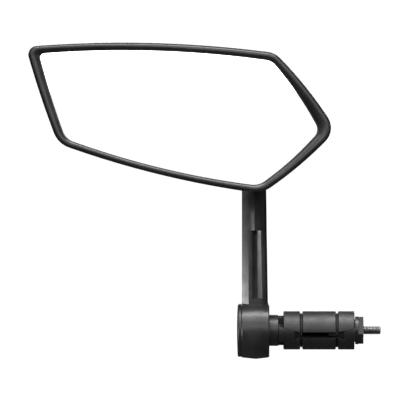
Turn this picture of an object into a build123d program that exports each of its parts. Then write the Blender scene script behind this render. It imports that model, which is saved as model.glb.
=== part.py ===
from build123d import *
import math
import os

os.makedirs("parts", exist_ok=True)

# Bar-end bike mirror, in millimetres.
# Frame: the origin is on the axis of the expander plug, at the hub's inboard face, where the
# handlebar ends. +X runs inboard along the bar, -Y faces the rider and +Z is up.

# ---------------------------------------------------------------- driving dimensions
PLUG_R = 9.15                # expander at rest, for a bar with a bore of 18.5 to 19.4
SLOT_CLOCKING = 15.0         # how far the slot's front edge is turned below the horizontal
RAMP_ANGLE = 15.0            # half angle of both wedges
RAMP_GAP = 0.12              # running gap between wedge and jaw, square to the ramp
THREAD_R = 2.0               # M4
BOLT_LENGTH = 60.0
BOLT_SEAT_X = -7.0           # underside of the bolt head

HUB_END_R = 12.95
HUB_RIDGE_R = 13.6
HUB_RIDGE_X = -6.4
HUB_OUTER_X = -13.2          # seam between hub and cap
CAP_OUTER_X = -15.4

ARM_LEFT_X = -13.05
ARM_KINK_Z = 47.5
ARM_LEAN = 15.5              # how far the upper arm leans away from the rider
BALL_CENTRE = (-7.3, -6.5, 84.0)
BALL_R = 5.5
RUNNING_GAP = 0.05           # in round fits and round the ball
EDGE = 0.3                   # small chamfer
PAST_END = 1.0               # how far a cutting shape runs past what it cuts

GLASS_VERTEX = (-42.0, -22.0, 100.0)
GLASS_CURVE_R = 1200.0
GLASS_THICK = 1.8
PAD_THICK = 0.6
PLATE_THICK = 1.2
RIM_FRONT_Y = -23.2
RIM_BACK_Y = -13.5           # parting plane of bezel and housing

# Corner points (X, Z) of the head where its five bulging edges would meet, in the order
# upper outboard, upper inboard, inboard tip, bottom, lower outboard. Each row ends with the
# corner's rounding and the radius of the edge that leaves it.
RIM_CORNERS = (
    (-115.7, 134.8, 4.1, 539.0),
    (2.65, 131.9, 10.0, 187.5),
    (31.6, 95.3, 9.3, 179.0),
    (-3.75, 65.1, 13.0, 446.0),
    (-100.4, 88.8, 12.0, 448.0),
)
GLASS_CORNERS = (
    (-110.1, 132.1, 2.0, 515.0),
    (1.25, 128.6, 7.0, 165.0),
    (24.0, 95.3, 5.0, 146.0),
    (-5.3, 68.9, 9.0, 404.0),
    (-97.2, 91.2, 8.0, 414.0),
)
LEAST_ROUNDING = 0.4
BLANK_R = 90.0               # the turned blank that gives the glass its curve
BLANK_DEPTH = 12.0
BACK_CENTRE = (-25.0, 94.0)  # the housing's dome shrinks towards this point (X, Z)
TO_RIDER = (0, -1, 0)

# ---------------------------------------------------------------- worked-out values
slope = math.tan(math.radians(RAMP_ANGLE))
ramp_rise = RAMP_GAP / math.cos(math.radians(RAMP_ANGLE))
clocking = math.radians(SLOT_CLOCKING)
lean = math.tan(math.radians(ARM_LEAN))
ball_axis = Axis(BALL_CENTRE, (0, 1, 0))
ball_spot = (BALL_CENTRE[0], BALL_CENTRE[2])
# Half section of the ball joint: local x is the radius, local y runs away from the rider.
ball_plane = Plane(origin=BALL_CENTRE, x_dir=(1, 0, 0), z_dir=(0, 0, 1))
# Edge-on view of the plug's slot: local x runs inboard, local y points at the upper jaw.
jaw_direction = Vector(0, -math.sin(clocking), math.cos(clocking))
jaw_plane = Plane(
    origin=(0, 0, 0), x_dir=(1, 0, 0), z_dir=(0, -math.cos(clocking), -math.sin(clocking))
)



def plug_section(x):
    """Cross-section plane of the plug: local x lies in the slot, local y points at a jaw."""
    return Plane(
        origin=(x, 0, 0), x_dir=(0, math.cos(clocking), math.sin(clocking)), z_dir=(1, 0, 0)
    )


def facing_rider(y):
    """Upright plane at depth y: local x is X, local y is Z, and its normal faces the rider."""
    return Plane.XZ.offset(-y)


def turned(profile, plane=Plane.XZ, axis=Axis.X):
    """A solid of revolution from a closed half section."""
    with BuildPart() as solid:
        with BuildSketch(plane):
            with BuildLine():
                Polyline(*profile, close=True)
            make_face()
        revolve(axis=axis)
    return solid.part


def arc_centre(start, end, radius):
    """Centre of an arc that bulges to the left of the way from start to end."""
    along = (end - start).normalized()
    middle = (start + end) / 2
    return middle + Vector(along.Y, -along.X) * math.sqrt(radius**2 - (end - middle).length**2)


def crossing(centre_a, radius_a, centre_b, radius_b, near):
    """The crossing of two circles that is nearest to a point."""
    between = centre_b - centre_a
    gap = between.length
    along = (radius_a**2 - radius_b**2 + gap**2) / (2 * gap)
    height = math.sqrt(radius_a**2 - along**2)
    foot = centre_a + between.normalized() * along
    aside = Vector(-between.Y, between.X).normalized() * height
    return min((foot + aside, foot - aside), key=lambda point: (point - near).length)


def head_outline(corners, plane, scale=1.0, grow=0.0):
    """Five bulging edges with rounded corners, shrunk towards the back centre, then grown."""
    centre = Vector(*BACK_CENTRE)
    points = [centre + (Vector(x, z) - centre) * scale for x, z, _, _ in corners]
    radii = [edge_r * scale for _, _, _, edge_r in corners]
    centres = []
    for index, radius in enumerate(radii):
        following = points[(index + 1) % len(points)]
        centres.append(arc_centre(points[index], following, radius))
    grown = []
    for index, point in enumerate(points):
        before = radii[index - 1] + grow
        after = radii[index] + grow
        grown.append(crossing(centres[index - 1], before, centres[index], after, point))
    with BuildSketch(plane) as outline:
        with BuildLine():
            for index, radius in enumerate(radii):
                RadiusArc(grown[index], grown[(index + 1) % len(grown)], radius + grow)
        make_face()
        for point, row in zip(grown, corners):
            corner = outline.vertices().sort_by_distance(point)[0]
            fillet(corner, max(row[2] * scale + grow, LEAST_ROUNDING))
    return outline.sketch


def behind_glass(depth):
    """Everything behind a surface that lies the given depth behind the glass's front."""
    x, y, z = GLASS_VERTEX
    curve_r = GLASS_CURVE_R - depth
    blank_r = BLANK_R
    edge_y = depth + curve_r - math.sqrt(curve_r**2 - blank_r**2)
    half_y = depth + curve_r - math.sqrt(curve_r**2 - blank_r**2 / 4)
    with BuildPart() as blank:
        with BuildSketch(Plane(origin=GLASS_VERTEX, x_dir=(1, 0, 0), z_dir=(0, 0, 1))):
            with BuildLine():
                ThreePointArc((0, depth), (blank_r / 2, half_y), (blank_r, edge_y))
                Polyline((blank_r, edge_y), (blank_r, BLANK_DEPTH), (0, BLANK_DEPTH), (0, depth))
            make_face()
        revolve(axis=Axis(GLASS_VERTEX, (0, 1, 0)))
    return blank.part


def curved_sheet(grow, front_depth, thickness):
    """A sheet that follows the glass's curve, cut to the visible outline grown by an amount."""
    outline = head_outline(GLASS_CORNERS, facing_rider(RIM_BACK_Y), grow=grow)
    front_blank = behind_glass(front_depth)
    back_blank = behind_glass(front_depth + thickness)
    with BuildPart() as sheet:
        extrude(outline, amount=RIM_BACK_Y - RIM_FRONT_Y, dir=TO_RIDER)
        add(front_blank, mode=Mode.INTERSECT)
        add(back_blank, mode=Mode.SUBTRACT)
    return sheet


def shell_section(inner_r, outer_r, start_angle, end_angle):
    """Half section of a spherical shell about the ball centre, angles up from the local x axis."""
    sweep = end_angle - start_angle
    start = Vector(1, 0).rotate(Axis.Z, start_angle)
    end = Vector(1, 0).rotate(Axis.Z, end_angle)
    with BuildSketch(ball_plane) as section:
        with BuildLine():
            CenterArc((0, 0), inner_r, start_angle, sweep)
            CenterArc((0, 0), outer_r, start_angle, sweep)
            Line(start * inner_r, start * outer_r)
            Line(end * inner_r, end * outer_r)
        make_face()
    return section.sketch


# ================================================================ expander plug
NECK_R = 7.45
NECK_END_X = 4.45
JOURNAL_R = 7.0              # turns in the hub's bore
JOURNAL_END_X = -2.8
JOURNAL_CHAMFER = 0.4
BOLT_HOLE_R = 2.25
JAW_START_X = 6.7
JAW_END_X = 40.5
RAMP_START_HALF = 3.38       # half height of each wedge where it enters the jaws
SLOT_HALF = 1.5
KEY_HALF = 1.3
KEY_TIP_HALF = 0.5           # the outer blade narrows to this at its tip
INNER_TIP_X = 15.3
OUTER_TIP_X = 28.0
BLADE_R = 8.9
BLADE_INNER_R = 7.0          # past the O-rings the blades stay inside them
INNER_STEP_X = 12.0          # where each blade steps down to that radius
OUTER_STEP_X = 35.6
RIB_R = 7.1
RIB_WIDTH = 4.4
RIB_END_X = 8.5
RING_XS = (15.2, 32.2)
RING_CENTRE_R = 7.75
RING_SECTION_R = 0.45
GROOVE_HALF = 0.5
GROOVE_BOTTOM_R = 7.25
GROOVE_CHAMFER = 0.35
JAW_TRAVEL_X = 2.2
COLLAR_R = 6.65
COLLAR_START_X = 40.9
HEX_START_X = 42.4
HEX_END_X = 44.8
NUT_FLATS = 7.0
NUT_THICK = 3.2
reach = PLUG_R + PAST_END


def ramp_half(distance):
    """Half height of a wedge at a distance past the point where it enters the jaws."""
    return RAMP_START_HALF - distance * slope


def blade(outline, limit):
    """A wedge's flat blade: its edge-on outline, kept inside a turned limit."""
    inside = turned(limit)
    with BuildPart() as solid:
        with BuildSketch(jaw_plane):
            with BuildLine():
                Polyline(*outline, close=True)
            make_face()
        extrude(amount=reach, both=True)
        add(inside, mode=Mode.INTERSECT)
    return solid.part


# Inner wedge: journal in the hub, neck in the bar, two guide ribs and the first blade.
inner_blade = blade(
    (
        (NECK_END_X, ramp_half(NECK_END_X - JAW_START_X)),
        (INNER_TIP_X, ramp_half(INNER_TIP_X - JAW_START_X)),
        (INNER_TIP_X, -ramp_half(INNER_TIP_X - JAW_START_X)),
        (NECK_END_X, -ramp_half(NECK_END_X - JAW_START_X)),
    ),
    (
        (NECK_END_X, 0),
        (NECK_END_X, BLADE_R),
        (INNER_STEP_X, BLADE_R),
        (INNER_STEP_X, BLADE_INNER_R),
        (INNER_TIP_X, BLADE_INNER_R),
        (INNER_TIP_X, 0),
    ),
)
inner_shaft = turned(
    (
        (JOURNAL_END_X, 0),
        (JOURNAL_END_X, JOURNAL_R - JOURNAL_CHAMFER),
        (JOURNAL_END_X + JOURNAL_CHAMFER, JOURNAL_R),
        (0, JOURNAL_R),
        (0, NECK_R),
        (NECK_END_X - EDGE, NECK_R),
        (NECK_END_X, NECK_R - EDGE),
        (NECK_END_X, 0),
    )
)
with BuildPart() as inner_wedge:
    add(inner_shaft)
    add(inner_blade)
    with BuildSketch(plug_section(NECK_END_X)):
        Circle(RIB_R)
        Rectangle(RIB_WIDTH, 2 * reach, mode=Mode.INTERSECT)
    extrude(amount=RIB_END_X - NECK_END_X)
    with BuildSketch(plug_section(JOURNAL_END_X)):
        Circle(BOLT_HOLE_R)
    extrude(amount=INNER_TIP_X - JOURNAL_END_X, mode=Mode.SUBTRACT)
inner_wedge.part.label = "inner_wedge"
export_step(inner_wedge.part, "parts/inner_wedge.step")

# Jaws: two halves of a sleeve with O-ring grooves, ramps, a bolt channel, a keyway for the
# guide rib, and a counterbore that swallows the outer wedge's collar.
CHANNEL_R = 2.4
COUNTERBORE_R = 7.0
COUNTERBORE_X = 37.8
KEYWAY_DEPTH = 4.6
KEYWAY_WIDTH = 4.9
KEYWAY_TOP = 7.75
mouth_half = RAMP_START_HALF + ramp_rise
mouth_length = (mouth_half - SLOT_HALF) / slope

sleeve_profile = [(JAW_START_X, CHANNEL_R), (JAW_START_X, PLUG_R - EDGE)]
sleeve_profile.append((JAW_START_X + EDGE, PLUG_R))
for ring_x in RING_XS:
    chamfer_half = GROOVE_HALF + GROOVE_CHAMFER
    sleeve_profile.append((ring_x - chamfer_half, PLUG_R))
    sleeve_profile.append((ring_x - GROOVE_HALF, PLUG_R - GROOVE_CHAMFER))
    sleeve_profile.append((ring_x - GROOVE_HALF, GROOVE_BOTTOM_R))
    sleeve_profile.append((ring_x + GROOVE_HALF, GROOVE_BOTTOM_R))
    sleeve_profile.append((ring_x + GROOVE_HALF, PLUG_R - GROOVE_CHAMFER))
    sleeve_profile.append((ring_x + chamfer_half, PLUG_R))
sleeve_profile.append((JAW_END_X - EDGE, PLUG_R))
sleeve_profile.append((JAW_END_X, PLUG_R - EDGE))
sleeve_profile.append((JAW_END_X, COUNTERBORE_R))
sleeve_profile.append((COUNTERBORE_X, COUNTERBORE_R))
sleeve_profile.append((COUNTERBORE_X, CHANNEL_R))
sleeve = turned(sleeve_profile)

slot_outline = (
    (JAW_START_X - PAST_END, mouth_half + PAST_END * slope),
    (JAW_START_X + mouth_length, SLOT_HALF),
    (JAW_END_X - mouth_length, SLOT_HALF),
    (JAW_END_X + PAST_END, mouth_half + PAST_END * slope),
    (JAW_END_X + PAST_END, -mouth_half - PAST_END * slope),
    (JAW_END_X - mouth_length, -SLOT_HALF),
    (JAW_START_X + mouth_length, -SLOT_HALF),
    (JAW_START_X - PAST_END, -mouth_half - PAST_END * slope),
)
for node, side in (("jaw_upper", 1), ("jaw_lower", -1)):
    with BuildPart() as jaw:
        add(sleeve)
        split(bisect_by=Plane(origin=(0, 0, 0), z_dir=jaw_direction * side), keep=Keep.TOP)
        with BuildSketch(jaw_plane):
            with BuildLine():
                Polyline(*slot_outline, close=True)
            make_face()
        extrude(amount=reach, both=True, mode=Mode.SUBTRACT)
        with BuildSketch(plug_section(JAW_START_X)):
            Rectangle(KEYWAY_WIDTH, 2 * KEYWAY_TOP)
        extrude(amount=KEYWAY_DEPTH, mode=Mode.SUBTRACT)
    jaw.part.label = node
    export_step(jaw.part, f"parts/{node}.step")

# O-rings: they hold the two jaws together round the wedges.
for node, ring_x in zip(("o_ring_outboard", "o_ring_inboard"), RING_XS):
    with BuildPart() as o_ring:
        with BuildSketch(Plane.XZ):
            with Locations((ring_x, RING_CENTRE_R)):
                Circle(RING_SECTION_R)
        revolve(axis=Axis.X)
    o_ring.part.label = node
    export_step(o_ring.part, f"parts/{node}.step")

# Outer wedge: second blade with its key, round collar, hexagon and the pocket of the nut.
key_start_x = JAW_END_X - (RAMP_START_HALF - KEY_HALF) / slope
outer_blade = blade(
    (
        (COLLAR_START_X, ramp_half(JAW_END_X - COLLAR_START_X)),
        (key_start_x, KEY_HALF),
        (OUTER_TIP_X, KEY_TIP_HALF),
        (OUTER_TIP_X, -KEY_TIP_HALF),
        (key_start_x, -KEY_HALF),
        (COLLAR_START_X, -ramp_half(JAW_END_X - COLLAR_START_X)),
    ),
    (
        (OUTER_TIP_X, 0),
        (OUTER_TIP_X, BLADE_INNER_R),
        (OUTER_STEP_X, BLADE_INNER_R),
        (OUTER_STEP_X, BLADE_R),
        (COLLAR_START_X, BLADE_R),
        (COLLAR_START_X, 0),
    ),
)
nut_seat_x = HEX_END_X - NUT_THICK
with BuildPart() as outer_wedge:
    add(outer_blade)
    with BuildSketch(plug_section(COLLAR_START_X)):
        Circle(COLLAR_R)
    extrude(amount=HEX_START_X - COLLAR_START_X)
    with BuildSketch(plug_section(HEX_START_X)):
        RegularPolygon(COLLAR_R, 6)
    extrude(amount=HEX_END_X - HEX_START_X)
    with BuildSketch(plug_section(OUTER_TIP_X)):
        Circle(BOLT_HOLE_R)
    extrude(amount=HEX_END_X - OUTER_TIP_X, mode=Mode.SUBTRACT)
    with BuildSketch(plug_section(nut_seat_x)):
        RegularPolygon(NUT_FLATS / 2 + RUNNING_GAP, 6, major_radius=False)
    extrude(amount=NUT_THICK, mode=Mode.SUBTRACT)
outer_wedge.part.label = "outer_wedge"
export_step(outer_wedge.part, "parts/outer_wedge.step")

with BuildPart() as wedge_nut:
    with BuildSketch(plug_section(nut_seat_x)):
        RegularPolygon(NUT_FLATS / 2, 6, major_radius=False)
        Circle(THREAD_R + RUNNING_GAP, mode=Mode.SUBTRACT)
    extrude(amount=NUT_THICK)
wedge_nut.part.label = "wedge_nut"
export_step(wedge_nut.part, "parts/wedge_nut.step")

# Clamp bolt: socket head cap screw.
HEAD_R = 3.5
HEAD_HEIGHT = 4.0
KEY_FLATS = 3.0
KEY_DEPTH = 2.0
TIP_CHAMFER = 0.5
head_x = BOLT_SEAT_X - HEAD_HEIGHT
tip_x = BOLT_SEAT_X + BOLT_LENGTH
bolt_blank = turned(
    (
        (head_x, 0),
        (head_x, HEAD_R - EDGE),
        (head_x + EDGE, HEAD_R),
        (BOLT_SEAT_X, HEAD_R),
        (BOLT_SEAT_X, THREAD_R),
        (tip_x - TIP_CHAMFER, THREAD_R),
        (tip_x, THREAD_R - TIP_CHAMFER),
        (tip_x, 0),
    )
)
with BuildPart() as clamp_bolt:
    add(bolt_blank)
    with BuildSketch(Plane.YZ.offset(head_x)):
        RegularPolygon(KEY_FLATS / 2, 6, major_radius=False)
    extrude(amount=KEY_DEPTH, mode=Mode.SUBTRACT)
clamp_bolt.part.label = "clamp_bolt"
export_step(clamp_bolt.part, "parts/clamp_bolt.step")

# Washers in the hub: spring washer and flat washer under the bolt head, friction washer
# between the hub's web and the journal.
WEB_OUTER_X = -5.3
WEB_INNER_X = -3.3
SPRING_WASHER_THICK = 0.9
SPRING_WASHER_SLIT = 0.5
SPRING_WASHER_SLANT = 15.0
WASHERS = (
    ("spring_washer", BOLT_SEAT_X, BOLT_SEAT_X + SPRING_WASHER_THICK, HEAD_R),
    ("flat_washer", BOLT_SEAT_X + SPRING_WASHER_THICK, WEB_OUTER_X, 4.5),
    ("friction_washer", WEB_INNER_X, JOURNAL_END_X, 6.7),
)
for node, start_x, end_x, outer_r in WASHERS:
    with BuildPart() as washer:
        with BuildSketch(Plane.YZ.offset(start_x)):
            Circle(outer_r)
            Circle(BOLT_HOLE_R, mode=Mode.SUBTRACT)
        extrude(amount=end_x - start_x)
        if node == "spring_washer":
            with BuildSketch(Plane.YZ.offset(start_x)):
                with Locations((0, outer_r)):
                    Rectangle(SPRING_WASHER_SLIT, outer_r * 1.7, rotation=SPRING_WASHER_SLANT)
            extrude(amount=end_x - start_x, mode=Mode.SUBTRACT)
    washer.part.label = node
    export_step(washer.part, f"parts/{node}.step")

# ================================================================ arm with hub
WELL_R = 5.5                 # the bolt head's well under the cap
HUB_CHAMFER = 0.5
SEAM_CHAMFER = 0.2           # leaves a fine line between hub and cap
RIDGE_HALF = 0.5
BORE_MOUTH_R = 7.7           # wider than the plug's neck, so that the bar end seats on flat metal
ARM_FRONT_Y = -4.8
ARM_BACK_Y = 4.6
GROOVE_LEFT_X = -9.9
GROOVE_MIDDLE_X = -7.05
GROOVE_DEEP = 2.2
GROOVE_BOTTOM_Z = 15.1
BOSS_R = 6.5
BOSS_FRONT_Y = 5.0
SPOT_FACE_R = 4.7
STUD_THREAD_R = 2.5
STUD_THREAD_LENGTH = 6.5
RIDGE = 0.9                  # how far the upper arm's crease stands out
LEFT_FACET_DEPTH = 2.6
RIGHT_FACET = (1.0, 1.7)     # width and depth of the first of the two right-hand facets
RIGHT_FACET_DEPTH = 3.4
BACK_CORNER = (1.8, 1.6)     # width and depth of the chamfers at the back
ARM_START_Z = 9.0            # inside the hub
OVERCUT = 0.01

boss_back_y = ARM_BACK_Y + (BALL_CENTRE[2] - ARM_KINK_Z) * lean

journal_bore_r = JOURNAL_R + RUNNING_GAP
hub_profile = (
    (HUB_OUTER_X, WELL_R),
    (HUB_OUTER_X, HUB_END_R - SEAM_CHAMFER),
    (HUB_OUTER_X + SEAM_CHAMFER, HUB_END_R),
    (HUB_RIDGE_X - RIDGE_HALF, HUB_RIDGE_R),
    (HUB_RIDGE_X + RIDGE_HALF, HUB_RIDGE_R),
    (-HUB_CHAMFER, HUB_END_R),
    (0, HUB_END_R - HUB_CHAMFER),
    (0, BORE_MOUTH_R),
    (journal_bore_r - BORE_MOUTH_R, journal_bore_r),
    (WEB_INNER_X, journal_bore_r),
    (WEB_INNER_X, BOLT_HOLE_R),
    (WEB_OUTER_X, BOLT_HOLE_R),
    (WEB_OUTER_X, WELL_R),
)
hub = turned(hub_profile)


def arm_section(z, right_x, groove_right_x, ridge):
    """Section of the arm at height z, with the rider's side first; the upper arm leans back."""
    back = max(0.0, z - ARM_KINK_Z) * lean
    front_y = ARM_FRONT_Y + back
    rear_y = ARM_BACK_Y + back
    corners = (
        (ARM_LEFT_X, rear_y - BACK_CORNER[1]),
        (ARM_LEFT_X, front_y + LEFT_FACET_DEPTH),
        (GROOVE_LEFT_X, front_y),
        (GROOVE_MIDDLE_X, front_y - ridge),
        (groove_right_x, front_y),
        (right_x - RIGHT_FACET[0], front_y + RIGHT_FACET[1]),
        (right_x, front_y + RIGHT_FACET_DEPTH),
        (right_x, rear_y - BACK_CORNER[1]),
        (right_x - BACK_CORNER[0], rear_y),
        (ARM_LEFT_X + BACK_CORNER[0], rear_y),
    )
    with BuildSketch(Plane.XY.offset(z)) as section:
        with BuildLine():
            Polyline(*corners, close=True)
        make_face()
    return section.sketch


def groove_section(z, right_x):
    """Section of the V groove in the lower arm's front."""
    with BuildSketch(Plane.XY.offset(z)) as section:
        with BuildLine():
            Polyline(
                (GROOVE_LEFT_X, ARM_FRONT_Y - OVERCUT),
                (GROOVE_MIDDLE_X, ARM_FRONT_Y + GROOVE_DEEP),
                (right_x, ARM_FRONT_Y - OVERCUT),
                close=True,
            )
        make_face()
    return section.sketch


# Each section: height, the arm's right edge, the groove's right edge and the ridge.
lower_sections = (
    arm_section(ARM_START_Z, -0.6, -3.2, 0.0),
    arm_section(ARM_KINK_Z, -1.2, -4.1, 0.0),
)
upper_sections = (
    arm_section(ARM_KINK_Z, -1.2, -4.5, RIDGE),
    arm_section(BALL_CENTRE[2], -1.6, -4.5, RIDGE),
)
groove_sections = (groove_section(GROOVE_BOTTOM_Z, -3.3), groove_section(ARM_KINK_Z, -4.1))
with BuildPart() as lower_arm:
    for section in lower_sections:
        add(section)
    loft(ruled=True)
with BuildPart() as upper_arm:
    for section in upper_sections:
        add(section)
    loft(ruled=True)
with BuildPart() as groove:
    for section in groove_sections:
        add(section)
    loft(ruled=True)
with BuildPart() as hub_inside:
    with BuildSketch(Plane.YZ.offset(HUB_OUTER_X - PAST_END)):
        Circle(HUB_END_R - PAST_END)
    extrude(amount=PAST_END - HUB_OUTER_X + PAST_END)

with BuildPart() as arm:
    add(lower_arm.part)
    add(upper_arm.part)
    add(groove.part, mode=Mode.SUBTRACT)
    add(hub_inside.part, mode=Mode.SUBTRACT)
    add(hub)
    with BuildSketch(facing_rider(boss_back_y)):
        with Locations(ball_spot):
            Circle(BOSS_R)
    extrude(amount=boss_back_y - BOSS_FRONT_Y)
    with BuildSketch(facing_rider(BOSS_FRONT_Y)):
        with Locations(ball_spot):
            Circle(SPOT_FACE_R)
    extrude(amount=BOSS_FRONT_Y, mode=Mode.SUBTRACT)
    with BuildSketch(facing_rider(BOSS_FRONT_Y)):
        with Locations(ball_spot):
            Circle(STUD_THREAD_R + RUNNING_GAP)
    extrude(amount=-STUD_THREAD_LENGTH, mode=Mode.SUBTRACT)
arm.part.label = "arm"
export_step(arm.part, "parts/arm.step")

# Hub cap: domed disc with a spigot that snaps into the bolt head's well.
SPIGOT_R = WELL_R - RUNNING_GAP
SPIGOT_DEPTH = 1.8
SPIGOT_WALL = 1.0
CAP_R = HUB_END_R - EDGE
CAP_CENTRE_R = 2.0           # flat middle of the dome
CAP_RIM_X = HUB_OUTER_X - 1.2
CAP_SHOULDER = (HUB_OUTER_X - 1.9, HUB_END_R - 1.1)
CAP_BEND = (HUB_OUTER_X - 1.7, HUB_END_R - 0.55)
CAP_DOME = (CAP_OUTER_X + 0.1, HUB_END_R / 2)
with BuildPart() as hub_cap:
    with BuildSketch(Plane.XZ):
        with BuildLine():
            Polyline(
                (CAP_OUTER_X, CAP_CENTRE_R),
                (CAP_OUTER_X, 0),
                (HUB_OUTER_X, 0),
                (HUB_OUTER_X, SPIGOT_R - SPIGOT_WALL),
                (HUB_OUTER_X + SPIGOT_DEPTH, SPIGOT_R - SPIGOT_WALL),
                (HUB_OUTER_X + SPIGOT_DEPTH, SPIGOT_R),
                (HUB_OUTER_X, SPIGOT_R),
                (HUB_OUTER_X, CAP_R - SEAM_CHAMFER),
                (HUB_OUTER_X - SEAM_CHAMFER, CAP_R),
                (CAP_RIM_X, CAP_R),
            )
            ThreePointArc((CAP_RIM_X, CAP_R), CAP_BEND, CAP_SHOULDER)
            ThreePointArc(CAP_SHOULDER, CAP_DOME, (CAP_OUTER_X, CAP_CENTRE_R))
        make_face()
    revolve(axis=Axis.X)
hub_cap.part.label = "hub_cap"
export_step(hub_cap.part, "parts/hub_cap.step")

# ================================================================ ball joint
SEAT_IN_R = BALL_R + RUNNING_GAP
SEAT_OUT_R = 7.35
SOCKET_R = SEAT_OUT_R + RUNNING_GAP
NECK_STUD_R = 2.2
SEAT_OPENING = 47.0          # half angle left open round the stud's neck
SOCKET_OPENING = 45.0
SEAT_SPLIT = 0.5             # half angle left between the two seats
RING_R = 9.0
RING_BORE_R = RING_R + RUNNING_GAP
RING_BACK = -0.5             # local y of the ring's back face
RING_FRONT = -7.6
RING_HOLE_R = 3.5
COVER_BACK = -8.4
COVER_THICK = 1.5
FLANGE_R = 4.0
FLANGE_THICK = 1.6
STUD_KEY_FLATS = 2.5
STUD_KEY_DEPTH = 3.0
SPRING_RADII = (4.6, 8.6)    # inner and outer radius of the disc spring
SPRING_THICK = 0.4
SEAT_FRONT_ANGLE = -65.0

neck_y = math.sqrt(BALL_R**2 - NECK_STUD_R**2)
flange_y = BOSS_FRONT_Y - BALL_CENTRE[1]
with BuildPart() as ball_stud:
    with BuildSketch(ball_plane):
        with BuildLine():
            ThreePointArc((0, -BALL_R), (BALL_R, 0), (NECK_STUD_R, neck_y))
            Polyline(
                (NECK_STUD_R, neck_y),
                (NECK_STUD_R, flange_y - FLANGE_THICK),
                (FLANGE_R, flange_y - FLANGE_THICK),
                (FLANGE_R, flange_y),
                (STUD_THREAD_R, flange_y),
                (STUD_THREAD_R, flange_y + STUD_THREAD_LENGTH),
                (0, flange_y + STUD_THREAD_LENGTH),
                (0, -BALL_R),
            )
        make_face()
    revolve(axis=ball_axis)
    with BuildSketch(facing_rider(BALL_CENTRE[1] - BALL_R)):
        with Locations(ball_spot):
            RegularPolygon(STUD_KEY_FLATS / 2, 6, major_radius=False)
    extrude(amount=-STUD_KEY_DEPTH, mode=Mode.SUBTRACT)
ball_stud.part.label = "ball_stud"
export_step(ball_stud.part, "parts/ball_stud.step")

SEATS = (
    ("ball_seat_rear", SEAT_SPLIT, 90 - SEAT_OPENING),
    ("ball_seat_front", SEAT_FRONT_ANGLE, -SEAT_SPLIT),
)
for node, start_angle, end_angle in SEATS:
    section = shell_section(SEAT_IN_R, SEAT_OUT_R, start_angle, end_angle)
    with BuildPart() as seat:
        add(section)
        revolve(axis=ball_axis)
    seat.part.label = node
    export_step(seat.part, f"parts/{node}.step")

ring_edge = Vector(math.sqrt(SOCKET_R**2 - RING_BACK**2), RING_BACK)
ring_hole = Vector(RING_HOLE_R, -math.sqrt(SOCKET_R**2 - RING_HOLE_R**2))
with BuildPart() as pressure_ring:
    with BuildSketch(ball_plane):
        with BuildLine():
            Polyline(
                ring_hole,
                (RING_HOLE_R, RING_FRONT),
                (RING_R, RING_FRONT),
                (RING_R, RING_BACK),
                ring_edge,
            )
            ThreePointArc(ring_edge, Vector(1, 0).rotate(Axis.Z, -30) * SOCKET_R, ring_hole)
        make_face()
    revolve(axis=ball_axis)
pressure_ring.part.label = "pressure_ring"
export_step(pressure_ring.part, "parts/pressure_ring.step")

# Disc spring: a cone that pushes the ring against the front seat.
with BuildPart() as disc_spring:
    with BuildSketch(ball_plane):
        with BuildLine():
            Polyline(
                (SPRING_RADII[0], COVER_BACK),
                (SPRING_RADII[0], COVER_BACK + SPRING_THICK),
                (SPRING_RADII[1], RING_FRONT),
                (SPRING_RADII[1], RING_FRONT - SPRING_THICK),
                close=True,
            )
        make_face()
    revolve(axis=ball_axis)
disc_spring.part.label = "disc_spring"
export_step(disc_spring.part, "parts/disc_spring.step")

SCREW_CIRCLE_R = 13.0
SCREW_START = 15.0           # three of four quarter turns, clear of the rim's bottom corner
SCREW_R = 1.05
SCREW_HOLE_R = 1.1
SCREW_HEAD_R = 2.0
SCREW_LENGTH = 6.0
SCREW_POINT = (0.2, 0.8)     # end radius and length of the point
RECESS = (2.2, 0.45, 0.7)    # length, width and depth of the cross recess
SCREW_BOSS_R = 2.5
SOCKET_WALL_R = 10.8
cover_back_y = BALL_CENTRE[1] + COVER_BACK
cover_front_y = cover_back_y - COVER_THICK
screw_head_depth = SCREW_HEAD_R - SCREW_R


def screw_places():
    """The three screw places round the ball's axis, for use inside Locations(ball_spot)."""
    return PolarLocations(SCREW_CIRCLE_R, 3, SCREW_START, 180, endpoint=True)


with BuildPart() as socket_cover:
    with BuildSketch(facing_rider(cover_back_y)):
        with Locations(ball_spot):
            Circle(SOCKET_WALL_R)
            with screw_places():
                Circle(SCREW_BOSS_R)
        make_hull()
        with Locations(ball_spot):
            with screw_places():
                Circle(SCREW_HOLE_R, mode=Mode.SUBTRACT)
    extrude(amount=COVER_THICK)
    cover_front = socket_cover.faces().filter_by(Axis.Y).sort_by(Axis.Y)[0]
    chamfer(cover_front.inner_wires().edges(), screw_head_depth)
socket_cover.part.label = "socket_cover"
export_step(socket_cover.part, "parts/socket_cover.step")

# Countersunk screws, flush with the cover.
with BuildPart() as socket_screws:
    for place in screw_places():
        x = ball_spot[0] + place.position.X
        z = ball_spot[1] + place.position.Y
        with BuildSketch(Plane(origin=(x, cover_front_y, z), x_dir=(1, 0, 0), z_dir=(0, 0, 1))):
            with BuildLine():
                Polyline(
                    (0, 0),
                    (SCREW_HEAD_R, 0),
                    (SCREW_R, screw_head_depth),
                    (SCREW_R, SCREW_LENGTH - SCREW_POINT[1]),
                    (SCREW_POINT[0], SCREW_LENGTH),
                    (0, SCREW_LENGTH),
                    close=True,
                )
            make_face()
        revolve(axis=Axis((x, cover_front_y, z), (0, 1, 0)))
        with BuildSketch(facing_rider(cover_front_y)):
            with Locations((x, z)):
                Rectangle(RECESS[0], RECESS[1])
                Rectangle(RECESS[1], RECESS[0])
        extrude(amount=-RECESS[2], mode=Mode.SUBTRACT)
socket_screws.part.label = "socket_screws"
export_step(socket_screws.part, "parts/socket_screws.step")

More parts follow.
